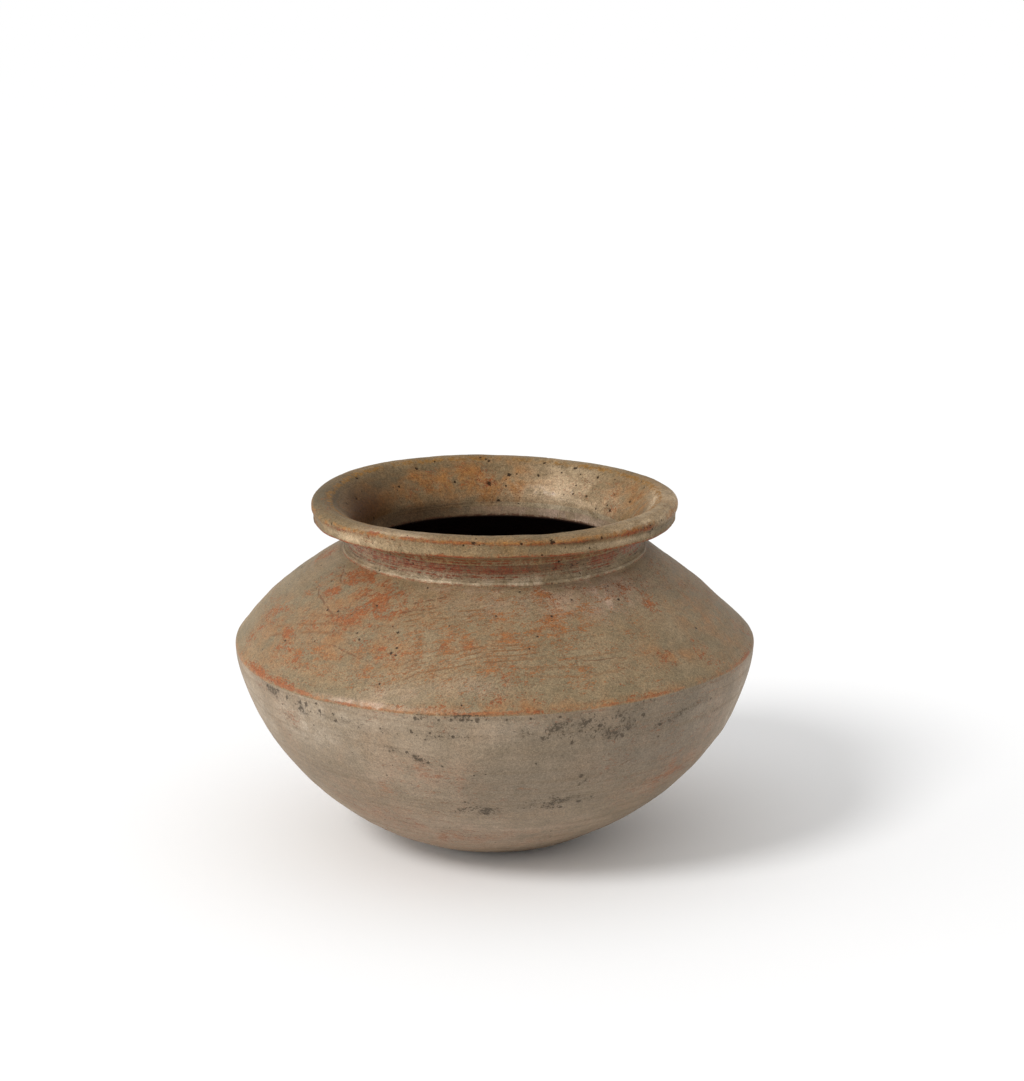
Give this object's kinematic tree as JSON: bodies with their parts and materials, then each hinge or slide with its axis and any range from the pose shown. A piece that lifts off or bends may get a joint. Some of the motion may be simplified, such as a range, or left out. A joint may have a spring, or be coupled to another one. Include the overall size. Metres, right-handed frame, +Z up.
{
  "type": "clay olla",
  "caption": "Unglazed hand-built clay olla with a round base, a sharp belly edge, a low shoulder, a short neck and a thick rolled lip, for cooking beans or holding water.",
  "frame": {"origin": "centre of the small flat that the pot rests on", "axes": "+Z up along the turning axis through the middle of the mouth; +X and +Y are alike, and the picture looks along +Y"},
  "size_m": [0.3, 0.3, 0.203],
  "materials": {
    "bowl_clay": "grey-buff slip over orange clay, stone burnished, with smoke marks",
    "shoulder_clay": "grey-buff slip over orange clay, stone burnished, worn at the edge",
    "neck_clay": "thin slip over turning lines, orange-red clay showing",
    "rim_clay": "ochre-grey slip, rubbed smooth by use"
  },
  "bodies": {
    "root": {"base_bowl": "bowl_clay", "shoulder": "shoulder_clay", "neck_collar": "neck_clay", "neck_seam_coil": "neck_clay", "rim_lip": "rim_clay"}
  },
  "joints": []
}
